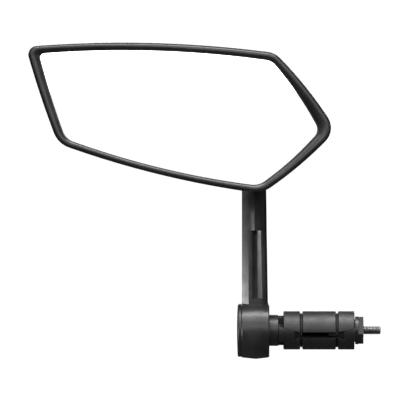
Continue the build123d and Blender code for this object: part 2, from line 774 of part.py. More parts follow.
# ================================================================ mirror head
GLASS_LAP = 0.8              # how far the glass reaches under the rim
POCKET_LAP = 1.0
TONGUE_OUT = 0.9             # the housing's tongue stands just inside the rim's pocket
HEAD_GAP = 0.03
PAD_INSET = 1.5

mirror_glass = curved_sheet(GLASS_LAP, 0.0, GLASS_THICK)
mirror_glass.part.label = "mirror_glass"
export_step(mirror_glass.part, "parts/mirror_glass.step")

glass_pad = curved_sheet(-PAD_INSET, GLASS_THICK, PAD_THICK)
glass_pad.part.label = "glass_pad"
export_step(glass_pad.part, "parts/glass_pad.step")

backing_plate = curved_sheet(GLASS_LAP, GLASS_THICK + PAD_THICK, PLATE_THICK)
backing_plate.part.label = "backing_plate"
export_step(backing_plate.part, "parts/backing_plate.step")

# Front bezel: rim with a crest, a slope down to the glass, and a pocket for the glass, whose
# lip follows the glass's curve.
SHOULDER_Y = -21.6           # the outer side starts to round over here
CREST_INSET = 1.7
CREST_FLAT = 0.5
LIP_Y = -22.3                # inner edge of the slope


def layered(corners, layers):
    """Ruled solid through outlines; each layer is depth, scale and growth."""
    outlines = []
    for y, scale, grow in layers:
        outlines.append(head_outline(corners, facing_rider(y), scale, grow))
    with BuildPart() as solid:
        for outline in outlines:
            add(outline)
        loft(ruled=True)
    return solid.part


rim_outline = head_outline(RIM_CORNERS, facing_rider(RIM_BACK_Y))
opening_outline = head_outline(GLASS_CORNERS, facing_rider(RIM_BACK_Y))
pocket_outline = head_outline(GLASS_CORNERS, facing_rider(RIM_BACK_Y), grow=POCKET_LAP)
crest_outline = head_outline(RIM_CORNERS, facing_rider(RIM_FRONT_Y), grow=-CREST_INSET - CREST_FLAT)
lip_outline = head_outline(GLASS_CORNERS, facing_rider(LIP_Y))
rim_depth = RIM_BACK_Y - RIM_FRONT_Y
shoulder = layered(RIM_CORNERS, ((SHOULDER_Y, 1.0, 0.0), (RIM_FRONT_Y, 1.0, -CREST_INSET)))
lip_blank = behind_glass(-HEAD_GAP)
with BuildPart() as slope_cut:
    add(crest_outline)
    add(lip_outline)
    loft(ruled=True)
with BuildPart() as pocket:
    extrude(pocket_outline, amount=rim_depth, dir=TO_RIDER)
    add(lip_blank, mode=Mode.INTERSECT)
with BuildPart() as front_bezel:
    extrude(rim_outline, amount=RIM_BACK_Y - SHOULDER_Y, dir=TO_RIDER)
    add(shoulder)
    extrude(opening_outline, amount=rim_depth, dir=TO_RIDER, mode=Mode.SUBTRACT)
    add(slope_cut.part, mode=Mode.SUBTRACT)
    add(pocket.part, mode=Mode.SUBTRACT)
front_bezel.part.label = "front_bezel"
export_step(front_bezel.part, "parts/front_bezel.step")

# Rear housing: shallow domed shell with the socket of the ball joint and a tongue that
# stands inside the rim and carries the backing plate.
TONGUE_IN = -0.6
OUTSIDE_LAYERS = ((RIM_BACK_Y, 1.0, 0.0), (-9.5, 0.93, 0.0), (-6.3, 0.72, 0.0))
INSIDE_LAYERS = ((RIM_BACK_Y, 1.0, TONGUE_IN), (-11.2, 0.93, TONGUE_IN), (-8.1, 0.74, TONGUE_IN))
outside = layered(RIM_CORNERS, OUTSIDE_LAYERS)
inside = layered(GLASS_CORNERS, INSIDE_LAYERS)
tongue_outline = head_outline(GLASS_CORNERS, facing_rider(RIM_BACK_Y), grow=TONGUE_OUT)
hollow_outline = head_outline(GLASS_CORNERS, facing_rider(RIM_BACK_Y), grow=TONGUE_IN)
tongue_limit = behind_glass(GLASS_THICK + PAD_THICK + PLATE_THICK + HEAD_GAP)
with BuildPart() as tongue:
    extrude(tongue_outline, amount=rim_depth, dir=TO_RIDER)
    extrude(hollow_outline, amount=rim_depth, dir=TO_RIDER, mode=Mode.SUBTRACT)
    add(tongue_limit, mode=Mode.INTERSECT)

BULGE_R = 9.6
BULGE_FOOT_ANGLE = 15.0
SCREW_BOSS_LENGTH = 7.4
SOCKET_OVERLAP = 0.5
SOCKET_ROOM = 20.0           # clears the shell round the socket
SHOULDER_BACK = 0.4          # local y where the socket's wall turns into the bulge
STEP_BACK = -0.3             # local y of the step behind the pressure ring
opening_angle = 90 - SOCKET_OPENING
bulge_end = Vector(1, 0).rotate(Axis.Z, opening_angle) * BULGE_R
bulge_foot = Vector(1, 0).rotate(Axis.Z, BULGE_FOOT_ANGLE) * BULGE_R
bulge_middle = Vector(1, 0).rotate(Axis.Z, (opening_angle + BULGE_FOOT_ANGLE) / 2) * BULGE_R
seat_end = Vector(1, 0).rotate(Axis.Z, opening_angle) * SOCKET_R
seat_middle = Vector(1, 0).rotate(Axis.Z, opening_angle / 2) * SOCKET_R
seat_start = Vector(math.sqrt(SOCKET_R**2 - STEP_BACK**2), STEP_BACK)
with BuildPart() as socket:
    with BuildSketch(ball_plane):
        with BuildLine():
            Polyline(
                seat_start,
                (RING_BORE_R, STEP_BACK),
                (RING_BORE_R, COVER_BACK),
                (SOCKET_WALL_R, COVER_BACK),
                (SOCKET_WALL_R, SHOULDER_BACK),
                bulge_foot,
            )
            ThreePointArc(bulge_foot, bulge_middle, bulge_end)
            Line(bulge_end, seat_end)
            ThreePointArc(seat_end, seat_middle, seat_start)
        make_face()
    revolve(axis=ball_axis)
with BuildPart() as socket_room:
    with BuildSketch(facing_rider(cover_back_y)):
        with Locations(ball_spot):
            Circle(SOCKET_WALL_R - SOCKET_OVERLAP)
    extrude(amount=-SOCKET_ROOM)

with BuildPart() as rear_housing:
    add(outside)
    add(inside, mode=Mode.SUBTRACT)
    add(tongue.part)
    with BuildSketch(facing_rider(cover_back_y)):
        with Locations(ball_spot):
            with screw_places():
                Circle(SCREW_BOSS_R)
    extrude(amount=-SCREW_BOSS_LENGTH)
    add(socket_room.part, mode=Mode.SUBTRACT)
    add(socket.part)
    with BuildSketch(facing_rider(cover_back_y)):
        with Locations(ball_spot):
            with screw_places():
                Circle(SCREW_HOLE_R)
    extrude(amount=-(SCREW_LENGTH - COVER_THICK), mode=Mode.SUBTRACT)
rear_housing.part.label = "rear_housing"
export_step(rear_housing.part, "parts/rear_housing.step")
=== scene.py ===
import math

import bpy
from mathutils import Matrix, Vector


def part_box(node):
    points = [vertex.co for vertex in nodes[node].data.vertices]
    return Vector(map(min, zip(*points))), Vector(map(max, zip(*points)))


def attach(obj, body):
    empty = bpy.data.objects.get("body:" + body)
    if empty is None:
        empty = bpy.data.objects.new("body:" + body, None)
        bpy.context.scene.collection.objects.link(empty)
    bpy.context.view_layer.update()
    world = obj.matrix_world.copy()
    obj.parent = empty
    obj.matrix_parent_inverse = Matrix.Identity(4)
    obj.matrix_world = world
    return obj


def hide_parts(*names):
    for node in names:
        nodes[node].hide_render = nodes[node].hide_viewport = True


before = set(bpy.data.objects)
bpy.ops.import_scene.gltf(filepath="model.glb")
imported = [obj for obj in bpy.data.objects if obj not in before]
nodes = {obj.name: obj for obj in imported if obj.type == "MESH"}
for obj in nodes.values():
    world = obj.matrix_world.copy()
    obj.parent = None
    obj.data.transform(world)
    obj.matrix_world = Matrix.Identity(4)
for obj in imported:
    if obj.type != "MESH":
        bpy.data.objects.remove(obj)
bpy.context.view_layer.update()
MM = 0.001

# ---------------------------------------------------------------- outlines of the head
bezel_low, bezel_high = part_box("front_bezel")
bolt_low, bolt_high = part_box("clamp_bolt")

# Corner points (X, Z) in millimetres where the head's five bulging edges would meet, from the
# upper outboard corner clockwise, with the corner's rounding and the leaving edge's radius.
RIM_CORNERS = (
    (-115.7, 134.8, 4.1, 539.0),
    (2.65, 131.9, 10.0, 187.5),
    (31.6, 95.3, 9.3, 179.0),
    (-3.75, 65.1, 13.0, 446.0),
    (-100.4, 88.8, 12.0, 448.0),
)
GLASS_CORNERS = (
    (-109.5, 131.6, 2.0, 515.0),
    (1.1, 128.1, 7.0, 165.0),
    (23.7, 95.0, 5.0, 146.0),
    (-5.3, 68.9, 9.0, 404.0),
    (-96.75, 91.1, 8.0, 414.0),
)
EDGE_POINTS = 40
CORNER_POINTS = 14
GLASS_VERTEX = Vector((-42.0, -22.0, 100.0))
GLASS_CURVE_R = 1200.0
BALL_CENTRE = Vector((-7.3, -6.5, 84.0))


# ---------------------------------------------------------------- node material helpers
def material(name, base, roughness, metallic=0.0, specular=0.5):
    """A Principled material whose constant values sit on the shader's own sockets."""
    made = bpy.data.materials.new(name)
    made.use_nodes = True
    shader = made.node_tree.nodes["Principled BSDF"]
    shader.inputs["Base Color"].default_value = (*base, 1.0)
    shader.inputs["Roughness"].default_value = roughness
    shader.inputs["Metallic"].default_value = metallic
    shader.inputs["Specular IOR Level"].default_value = specular
    return made, shader


def texture_place(made, scale=(1.0, 1.0, 1.0)):
    """Object coordinates, stretched by a scale."""
    tree = made.node_tree
    place = tree.nodes.new("ShaderNodeTexCoord")
    mapping = tree.nodes.new("ShaderNodeMapping")
    mapping.inputs["Scale"].default_value = scale
    tree.links.new(place.outputs["Object"], mapping.inputs["Vector"])
    return mapping.outputs["Vector"]


def noise(made, vector, scale, detail=4.0, rough=0.5):
    tree = made.node_tree
    node = tree.nodes.new("ShaderNodeTexNoise")
    node.inputs["Scale"].default_value = scale
    node.inputs["Detail"].default_value = detail
    node.inputs["Roughness"].default_value = rough
    tree.links.new(vector, node.inputs["Vector"])
    return node.outputs["Fac"]


def spread(made, value, low, high, clip_low=0.3, clip_high=0.7):
    """Maps a noise value onto a range, for roughness."""
    node = made.node_tree.nodes.new("ShaderNodeMapRange")
    node.inputs["From Min"].default_value = clip_low
    node.inputs["From Max"].default_value = clip_high
    node.inputs["To Min"].default_value = low
    node.inputs["To Max"].default_value = high
    made.node_tree.links.new(value, node.inputs["Value"])
    return node.outputs["Result"]


def tint(made, value, dark, light, low=0.35, high=0.65):
    """Maps a noise value onto two colours."""
    ramp = made.node_tree.nodes.new("ShaderNodeValToRGB")
    ramp.color_ramp.elements[0].position = low
    ramp.color_ramp.elements[0].color = (*dark, 1.0)
    ramp.color_ramp.elements[1].position = high
    ramp.color_ramp.elements[1].color = (*light, 1.0)
    made.node_tree.links.new(value, ramp.inputs["Fac"])
    return ramp.outputs["Color"]


def bump(made, shader, value, strength, distance):
    node = made.node_tree.nodes.new("ShaderNodeBump")
    node.inputs["Strength"].default_value = strength
    node.inputs["Distance"].default_value = distance
    made.node_tree.links.new(value, node.inputs["Height"])
    made.node_tree.links.new(node.outputs["Normal"], shader.inputs["Normal"])


def moulded_black(name, shade, roughness, grain=1800.0, grain_depth=0.00003):
    """Satin black plastic or paint: fine grain, faint blotches in colour and gloss."""
    dark = tuple(c * 0.75 for c in shade)
    light = tuple(c * 1.35 for c in shade)
    made, shader = material(name, shade, roughness)
    place = texture_place(made)
    links = made.node_tree.links
    blotches = noise(made, place, 90.0)
    links.new(tint(made, blotches, dark, light), shader.inputs["Base Color"])
    gloss = spread(made, noise(made, place, 260.0), roughness - 0.05, roughness + 0.05)
    links.new(gloss, shader.inputs["Roughness"])
    bump(made, shader, noise(made, place, grain, 2.0), 0.25, grain_depth)
    return made


def mirror_material():
    """Silvered glass with a faint film of dust that only touches its gloss."""
    made, shader = material("silvered_glass", (0.93, 0.94, 0.95), 0.02, metallic=1.0)
    film = noise(made, texture_place(made), 60.0, 6.0, 0.6)
    made.node_tree.links.new(spread(made, film, 0.015, 0.04), shader.inputs["Roughness"])
    return made


def steel_material():
    """Zinc-plated steel with fine turning marks along the bar axis."""
    made, shader = material("plated_steel", (0.26, 0.26, 0.27), 0.42, metallic=1.0)
    links = made.node_tree.links
    marks = noise(made, texture_place(made, (60.0, 1.0, 1.0)), 60.0)
    links.new(tint(made, marks, (0.2, 0.2, 0.21), (0.32, 0.32, 0.33)), shader.inputs["Base Color"])
    blotches = noise(made, texture_place(made), 400.0)
    links.new(spread(made, blotches, 0.36, 0.5), shader.inputs["Roughness"])
    bump(made, shader, marks, 0.15, 0.00002)
    return made


def foam_material():
    made, shader = material("foam", (0.45, 0.45, 0.43), 0.9)
    cells = noise(made, texture_place(made), 1500.0, 3.0)
    made.node_tree.links.new(
        tint(made, cells, (0.36, 0.36, 0.34), (0.52, 0.52, 0.5)), shader.inputs["Base Color"]
    )
    bump(made, shader, cells, 0.5, 0.0001)
    return made


def acetal_material():
    made, shader = material("natural_acetal", (0.78, 0.77, 0.72), 0.4)
    haze = noise(made, texture_place(made), 120.0)
    made.node_tree.links.new(
        tint(made, haze, (0.72, 0.71, 0.66), (0.8, 0.79, 0.75)), shader.inputs["Base Color"]
    )
    bump(made, shader, haze, 0.1, 0.00005)
    return made


rim_black = moulded_black("rim_black", (0.020, 0.020, 0.021), 0.32)
housing_black = moulded_black("housing_black", (0.022, 0.022, 0.023), 0.48, 1400.0, 0.00006)
arm_black = moulded_black("arm_black", (0.020, 0.020, 0.021), 0.34)
cap_black = moulded_black("cap_black", (0.016, 0.016, 0.017), 0.42)
wedge_black = moulded_black("wedge_black", (0.022, 0.022, 0.023), 0.38)
jaw_black = moulded_black("jaw_black", (0.022, 0.022, 0.023), 0.5)
rubber_black = moulded_black("rubber_black", (0.012, 0.012, 0.012), 0.62, 2600.0, 0.00004)
silvered_glass = mirror_material()
plated_steel = steel_material()
foam = foam_material()
acetal = acetal_material()

NODE_MATERIALS = {
    "front_bezel": rim_black,
    "mirror_glass": silvered_glass,
    "glass_pad": foam,
    "backing_plate": housing_black,
    "rear_housing": housing_black,
    "socket_cover": housing_black,
    "socket_screws": plated_steel,
    "disc_spring": plated_steel,
    "pressure_ring": acetal,
    "ball_seat_front": acetal,
    "ball_seat_rear": acetal,
    "arm": arm_black,
    "ball_stud": plated_steel,
    "flat_washer": plated_steel,
    "spring_washer": plated_steel,
    "friction_washer": acetal,
    "hub_cap": cap_black,
    "inner_wedge": wedge_black,
    "clamp_bolt": plated_steel,
    "jaw_upper": jaw_black,
    "jaw_lower": jaw_black,
    "o_ring_outboard": rubber_black,
    "o_ring_inboard": rubber_black,
    "outer_wedge": wedge_black,
    "wedge_nut": plated_steel,
}
for node, finish in NODE_MATERIALS.items():
    nodes[node].data.materials.clear()
    nodes[node].data.materials.append(finish)


# ---------------------------------------------------------------- mesh helpers
def mesh_object(name, points, faces, finish, smooth=True):
    """A mesh from points in millimetres."""
    mesh = bpy.data.meshes.new(name)
    mesh.from_pydata([tuple(c * MM for c in point) for point in points], [], faces)
    mesh.validate()
    mesh.update()
    mesh.polygons.foreach_set("use_smooth", [smooth] * len(mesh.polygons))
    made = bpy.data.objects.new(name, mesh)
    bpy.context.scene.collection.objects.link(made)
    made.data.materials.append(finish)
    return made


def arc_centre(start, end, radius):
    """Centre of an arc that bulges to the left of the way from start to end."""
    along = (end - start).normalized()
    middle = (start + end) / 2
    depth = math.sqrt(radius**2 - (end - middle).length**2)
    return middle + Vector((along.y, -along.x)) * depth


def arc_points(centre, start, end, count):
    """Points on the short arc from start to end, both ends included."""
    spoke = start - centre
    turn = spoke.angle_signed(end - centre)
    points = []
    for step in range(count):
        angle = -turn * step / (count - 1)
        cos, sin = math.cos(angle), math.sin(angle)
        turned = Vector((spoke.x * cos - spoke.y * sin, spoke.x * sin + spoke.y * cos))
        points.append(centre + turned)
    return points


def rounded_outline(corners):
    """The head's outline as a closed row of points, the same count for any corner set."""
    points = [Vector((x, z)) for x, z, _, _ in corners]
    count = len(points)
    centres = []
    for index, row in enumerate(corners):
        centres.append(arc_centre(points[index], points[(index + 1) % count], row[3]))
    rounds = []
    for index, (_, _, rounding, leaving_r) in enumerate(corners):
        before_r = corners[index - 1][3] - rounding
        after_r = leaving_r - rounding
        rounds.append(
            crossing(centres[index - 1], before_r, centres[index], after_r, points[index])
        )
    outline = []
    for index, row in enumerate(corners):
        into = touch_point(centres[index - 1], rounds[index], row[2])
        out = touch_point(centres[index], rounds[index], row[2])
        next_round = rounds[(index + 1) % count]
        next_into = touch_point(centres[index], next_round, corners[(index + 1) % count][2])
        outline += arc_points(rounds[index], into, out, CORNER_POINTS)[:-1]
        outline += arc_points(centres[index], out, next_into, EDGE_POINTS)[:-1]
    return outline


def touch_point(edge_centre, round_centre, rounding):
    """Where a corner's round runs into the edge's arc."""
    return round_centre + (round_centre - edge_centre).normalized() * rounding


def crossing(centre_a, radius_a, centre_b, radius_b, near):
    """The crossing of two circles that is nearest to a point."""
    between = centre_b - centre_a
    gap = between.length
    along = (radius_a**2 - radius_b**2 + gap**2) / (2 * gap)
    height = math.sqrt(radius_a**2 - along**2)
    foot = centre_a + between.normalized() * along
    aside = Vector((-between.y, between.x)).normalized() * height
    return min((foot + aside, foot - aside), key=lambda point: (point - near).length)


# ---------------------------------------------------------------- mirror head
# The rim's section, in millimetres: its outer round, its crest, which tilts outwards a little,
# its inner slope and the ledge beside the glass.
CREST_INSET = 1.85
ROUND_WIDTH = 1.35
ROUND_DEPTH = 3.0
CREST_TILT = 0.06
RIM_FRONT_Y = bezel_low[1] / MM
RIM_BACK_Y = bezel_high[1] / MM
INNER_SLOPE = 45.0
LEDGE_WIDTH = 0.55
LEDGE_STEP = 0.12
ROUND_STEPS = 8
SLOPE_STEPS = 6
POCKET_LAP = 1.0
GLASS_LAP = 0.8
GLASS_THICK = 1.8
GLASS_GAP = 0.03
PARTING_CHAMFER = 0.3
GLASS_MIDDLE = Vector((-42.0, 102.0))
GLASS_SHARES = (1.0, 0.9, 0.8, 0.7, 0.6, 0.5, 0.4, 0.3, 0.2, 0.1, 0.03)
BACK_CENTRE = Vector((-25.0, 94.0))


def glass_y(point, depth=0.0):
    """Depth of the glass's front, or of a parallel surface behind it, at an (X, Z) point."""
    away = (point - Vector((GLASS_VERTEX.x, GLASS_VERTEX.z))).length
    curve_r = GLASS_CURVE_R - depth
    return GLASS_VERTEX.y + depth + curve_r - math.sqrt(curve_r**2 - away**2)


def closed_band(rows, close_rows=True):
    """Quads between rows of equal, closed point rings; the last row joins the first."""
    count = len(rows[0])
    points = [point for row in rows for point in row]
    faces = []
    pairs = len(rows) if close_rows else len(rows) - 1
    for row in range(pairs):
        following = (row + 1) % len(rows)
        for index in range(count):
            right = (index + 1) % count
            faces.append(
                (
                    row * count + index,
                    row * count + right,
                    following * count + right,
                    following * count + index,
                )
            )
    return points, faces


def rim_profile(width, ledge_glass_y, pocket_glass_y):
    """The rim's section as (distance in from the outer edge, depth), anticlockwise."""
    profile = [(PARTING_CHAMFER, RIM_BACK_Y), (0.0, RIM_BACK_Y - PARTING_CHAMFER)]
    for step in range(ROUND_STEPS + 1):
        angle = math.radians(90.0) * step / ROUND_STEPS
        inset = ROUND_WIDTH * (1 - math.cos(angle))
        rise = CREST_TILT + (ROUND_DEPTH - CREST_TILT) * (1 - math.sin(angle))
        profile.append((inset, RIM_FRONT_Y + rise))
    profile.append((CREST_INSET, RIM_FRONT_Y))
    steepest = math.radians(INNER_SLOPE)
    round_end = width - LEDGE_WIDTH
    round_r = (round_end - CREST_INSET) / math.sin(steepest)
    for step in range(1, SLOPE_STEPS + 1):
        angle = steepest * step / SLOPE_STEPS
        inset = CREST_INSET + round_r * math.sin(angle)
        profile.append((inset, RIM_FRONT_Y + round_r * (1 - math.cos(angle))))
    ledge_y = profile[-1][1] + LEDGE_STEP
    profile.append((round_end + LEDGE_STEP / 2, ledge_y))
    profile.append((width, ledge_y + LEDGE_STEP / 4))
    profile.append((width, ledge_glass_y - GLASS_GAP))
    profile.append((width - POCKET_LAP, pocket_glass_y - GLASS_GAP))
    profile.append((width - POCKET_LAP, RIM_BACK_Y))
    return profile


rim_outline = rounded_outline(RIM_CORNERS)
glass_outline = rounded_outline(GLASS_CORNERS)


def make_rim():
    """Front rim: a rounded crest near the outer edge, a slope and a ledge beside the glass."""
    sections = []
    for outer, inner in zip(rim_outline, glass_outline):
        width = (inner - outer).length
        inward = (inner - outer).normalized()
        pocket = inner - inward * POCKET_LAP
        section = []
        for inset, depth in rim_profile(width, glass_y(inner), glass_y(pocket)):
            place = outer + inward * inset
            section.append((place.x, depth, place.y))
        sections.append(section)
    points, faces = closed_band(sections)
    rim = mesh_object("rim", points, faces, rim_black)
    rim.data.set_sharp_from_angle(angle=math.radians(50.0))
    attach(rim, "head")
    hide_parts("front_bezel")


def make_glass():
    """The convex glass, as rings that shrink to its middle, front and back."""
    edge = []
    for outer, inner in zip(rim_outline, glass_outline):
        edge.append(inner + (outer - inner).normalized() * GLASS_LAP)
    rows = []
    for depth, order in ((0.0, reversed(GLASS_SHARES)), (GLASS_THICK, GLASS_SHARES)):
        for share in order:
            row = []
            for point in edge:
                place = GLASS_MIDDLE + (point - GLASS_MIDDLE) * share
                row.append((place.x, glass_y(place, depth), place.y))
            rows.append(row)
    points, faces = closed_band(rows, close_rows=False)
    count = len(edge)
    faces.append(tuple(reversed(range(count))))
    faces.append(tuple(range(len(points) - count, len(points))))
    glass = mesh_object("silvered_glass", points, faces, silvered_glass)
    glass.data.set_sharp_from_angle(angle=math.radians(40.0))
    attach(glass, "head")
    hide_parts("mirror_glass")
    # The white glass would light the rim's inner slope, which is dark beside it.
    glass.visible_glossy = False
    glass.visible_diffuse = False
    return glass


# Back of the head: a dome that runs into the bulge round the ball joint.
DOME_HEIGHT = 7.2
DOME_POWER = 8.0
DOME_EDGE_POWER = 1.4
BULGE_R = 9.6
BULGE_OPENING_R = 6.8
BULGE_FOOT_R = 9.27
SOCKET_WALL_R = 10.8
SOCKET_FOOT_Y = -6.1
FILLET = 1.0
FILLET_REACH = 3.0
WALL = 1.7
INNER_SHARE = 0.9
INNER_RINGS = 30
EDGE_RINGS = 12


def outline_reach(centre, outline):
    """Angles and distances of an outline's points about a centre, sorted for interpolation."""
    rows = []
    for point in outline:
        spoke = point - centre
        rows.append((math.atan2(spoke.y, spoke.x), spoke.length))
    rows.sort()
    before = (rows[-1][0] - 2 * math.pi, rows[-1][1])
    after = (rows[0][0] + 2 * math.pi, rows[0][1])
    return [before] + rows + [after]


def reach_at(rows, angle):
    """Distance from the centre to the outline at an angle."""
    for (before, near), (after, far) in zip(rows, rows[1:]):
        if before <= angle <= after:
            share = (angle - before) / max(after - before, 1e-9)
            return near + (far - near) * share
    return rows[-1][1]


def smooth_max(first, second, blend):
    """The larger of two heights, with a fillet where they cross."""
    gap = max(blend - abs(first - second), 0.0) / blend
    return max(first, second) + gap * gap * blend / 4


def bulge_y(away):
    """Depth of the bulge round the ball at a distance from the ball's axis."""
    foot_y = BALL_CENTRE.y + math.sqrt(BULGE_R**2 - BULGE_FOOT_R**2)
    if away <= BULGE_FOOT_R:
        return BALL_CENTRE.y + math.sqrt(BULGE_R**2 - away**2)
    slope = (SOCKET_FOOT_Y - foot_y) / (SOCKET_WALL_R - BULGE_FOOT_R)
    if away <= SOCKET_WALL_R:
        return foot_y + slope * (away - BULGE_FOOT_R)
    return SOCKET_FOOT_Y + 4 * slope * (away - SOCKET_WALL_R)


def make_housing():
    """The shell behind the glass, as rings from the ball's opening out to the rim."""
    ball = Vector((BALL_CENTRE.x, BALL_CENTRE.z))
    reach = outline_reach(BACK_CENTRE, rim_outline)
    shares = [INNER_SHARE * (step / INNER_RINGS) ** 2 for step in range(INNER_RINGS + 1)]
    for step in range(1, EDGE_RINGS + 1):
        quarter = math.radians(90.0) * step / EDGE_RINGS
        shares.append(INNER_SHARE + (1 - INNER_SHARE) * math.sin(quarter))
    rows = []
    for share in shares:
        row = []
        for edge in rim_outline:
            spoke = edge - ball
            away = BULGE_OPENING_R + (spoke.length - BULGE_OPENING_R) * share
            place = ball + spoke.normalized() * away
            from_middle = place - BACK_CENTRE
            limit = reach_at(reach, math.atan2(from_middle.y, from_middle.x))
            part = min(from_middle.length / limit, 1.0)
            dome = RIM_BACK_Y + DOME_HEIGHT * (1 - part**DOME_POWER) ** (1 / DOME_EDGE_POWER)
            if away <= SOCKET_WALL_R + FILLET_REACH:
                dome = smooth_max(dome, bulge_y(away), FILLET)
            row.append((place.x, dome, place.y))
        rows.append(row)
    points, faces = closed_band(rows, close_rows=False)
    housing = mesh_object("housing", points, faces, housing_black)
    wall = housing.modifiers.new("wall", "SOLIDIFY")
    wall.thickness = WALL * MM
    wall.offset = 1.0
    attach(housing, "head")
    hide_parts("rear_housing")


# ---------------------------------------------------------------- bolt and rings
def hexagon_reach(flats, angle):
    """Distance from the centre to a hexagon's side at an angle."""
    turn = angle % math.radians(60.0) - math.radians(30.0)
    return flats / 2 / math.cos(turn)


def turned_rows(rows, segments):
    """Closed rings about the bar axis from (x, radius) or (x, function of the angle)."""
    made = []
    for x, radius in rows:
        ring = []
        for step in range(segments):
            angle = 2 * math.pi * step / segments
            r = radius(angle) if callable(radius) else radius
            ring.append((x, r * math.cos(angle), r * math.sin(angle)))
        made.append(ring)
    return made


BOLT_HEAD_R = 3.5
BOLT_HEAD_X = bolt_low[0] / MM
BOLT_SEAT_X = -7.0
BOLT_KEY_FLATS = 3.0
BOLT_KEY_DEPTH = 2.0
BOLT_CHAMFER = 0.35
BOLT_CORE_R = 0.05
THREAD_R = 2.0
THREAD_ROOT_R = 1.62
THREAD_PITCH = 0.7
THREAD_START_X = 33.0
THREAD_RUN_OUT = 0.8
THREAD_RINGS_PER_TURN = 10
THREAD_SHARPNESS = 2.6
BOLT_TIP_X = bolt_high[0] / MM
TIP_LENGTH = 0.55
TIP_R = THREAD_ROOT_R - 0.25
BOLT_SEGMENTS = 36


def thread_radius(x):
    """The thread's outline at a place along the bolt, as a function of the angle."""
    to_end = min(BOLT_TIP_X - x, x - THREAD_START_X)
    fade = max(0.0, min(1.0, to_end / THREAD_RUN_OUT))
    full = max(0.0, min(1.0, (BOLT_TIP_X - x) / TIP_LENGTH))
    outer = TIP_R + (THREAD_R - TIP_R) * full

    def radius(angle):
        phase = (x / THREAD_PITCH - angle / (2 * math.pi)) % 1.0
        wave = min(1.0, THREAD_SHARPNESS * abs(phase - 0.5))
        return outer - (THREAD_R - THREAD_ROOT_R) * (1 - wave) * fade

    return radius


def make_bolt():
    """Socket head cap screw with a real thread towards its tip."""

    def key(angle):
        return hexagon_reach(BOLT_KEY_FLATS, angle)

    rows = [
        (BOLT_HEAD_X + BOLT_KEY_DEPTH, BOLT_CORE_R),
        (BOLT_HEAD_X + BOLT_KEY_DEPTH, key),
        (BOLT_HEAD_X, key),
        (BOLT_HEAD_X, BOLT_HEAD_R - BOLT_CHAMFER),
        (BOLT_HEAD_X + BOLT_CHAMFER, BOLT_HEAD_R),
        (BOLT_SEAT_X, BOLT_HEAD_R),
        (BOLT_SEAT_X, THREAD_R),
    ]
    turns = (BOLT_TIP_X - THREAD_START_X) / THREAD_PITCH
    steps = round(turns * THREAD_RINGS_PER_TURN)
    for step in range(steps + 1):
        x = THREAD_START_X + (BOLT_TIP_X - THREAD_START_X) * step / steps
        rows.append((x, thread_radius(x)))
    rings = turned_rows(rows, BOLT_SEGMENTS)
    points, faces = closed_band(rings, close_rows=False)
    faces.append(tuple(reversed(range(BOLT_SEGMENTS))))
    faces.append(tuple(range(len(points) - BOLT_SEGMENTS, len(points))))
    bolt = mesh_object("bolt", points, faces, plated_steel)
    bolt.data.set_sharp_from_angle(angle=math.radians(28.0))
    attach(bolt, "bolt")
    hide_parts("clamp_bolt")


SLOT_CLOCKING = math.radians(15.0)
RING_CENTRE_R = 7.75
UPPER_SECTION_R = 0.45
LOWER_SECTION_R = 0.43
RING_LEG = 0.9
RING_STEPS = 40
RING_SIDES = 14


def make_half_ring(name, node, x, side, body, section_r):
    """Half an O-ring on one jaw; its legs overlap the other half as the jaws spread."""
    across = Vector((0.0, math.cos(SLOT_CLOCKING), math.sin(SLOT_CLOCKING)))
    outwards = Vector((0.0, -math.sin(SLOT_CLOCKING), math.cos(SLOT_CLOCKING))) * side
    path = [(across * RING_CENTRE_R - outwards * RING_LEG, across)]
    for step in range(RING_STEPS + 1):
        angle = math.pi * step / RING_STEPS
        spoke = across * math.cos(angle) + outwards * math.sin(angle)
        path.append((spoke * RING_CENTRE_R, spoke))
    path.append((-across * RING_CENTRE_R - outwards * RING_LEG, -across))
    along_bar = Vector((1.0, 0.0, 0.0))
    rows = []
    for centre, spoke in path:
        row = []
        for step in range(RING_SIDES):
            angle = 2 * math.pi * step / RING_SIDES
            offset = spoke * math.cos(angle) + along_bar * math.sin(angle)
            row.append(tuple(centre + along_bar * x + offset * section_r))
        rows.append(row)
    points, faces = closed_band(rows, close_rows=False)
    faces.append(tuple(reversed(range(RING_SIDES))))
    faces.append(tuple(range(len(points) - RING_SIDES, len(points))))
    ring = mesh_object(name, points, faces, rubber_black)
    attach(ring, body)
    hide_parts(node)


# ---------------------------------------------------------------- edges of the CAD nodes
# How far each node's edges are rounded, in millimetres.
EDGE_WIDTHS = {
    "arm": 0.25,
    "hub_cap": 0.15,
    "inner_wedge": 0.15,
    "jaw_upper": 0.15,
    "jaw_lower": 0.15,
    "outer_wedge": 0.15,
    "wedge_nut": 0.1,
    "socket_cover": 0.15,
    "backing_plate": 0.1,
}
WELD_GAP = 0.01


def soften(node, width):
    """Rounds a CAD node's edges with modifiers, for the light to catch."""
    piece = nodes[node]
    joined = piece.modifiers.new("weld", "WELD")
    joined.merge_threshold = WELD_GAP * MM
    rounded = piece.modifiers.new("bevel", "BEVEL")
    rounded.width = width * MM
    rounded.segments = 3
    rounded.limit_method = "ANGLE"
    rounded.angle_limit = math.radians(28.0)
    rounded.use_clamp_overlap = True
    rounded.harden_normals = False
    normals = piece.modifiers.new("normals", "WEIGHTED_NORMAL")
    normals.keep_sharp = False


make_rim()
glass = make_glass()
make_housing()
make_bolt()
for ring_node in ("o_ring_outboard", "o_ring_inboard"):
    ring_low, ring_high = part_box(ring_node)
    ring_x = (ring_low[0] + ring_high[0]) / 2 / MM
    make_half_ring(ring_node + "_upper", ring_node, ring_x, 1, "upper_jaw", UPPER_SECTION_R)
    make_half_ring(ring_node + "_lower", ring_node, ring_x, -1, "lower_jaw", LOWER_SECTION_R)
for node, edge_width in EDGE_WIDTHS.items():
    soften(node, edge_width)


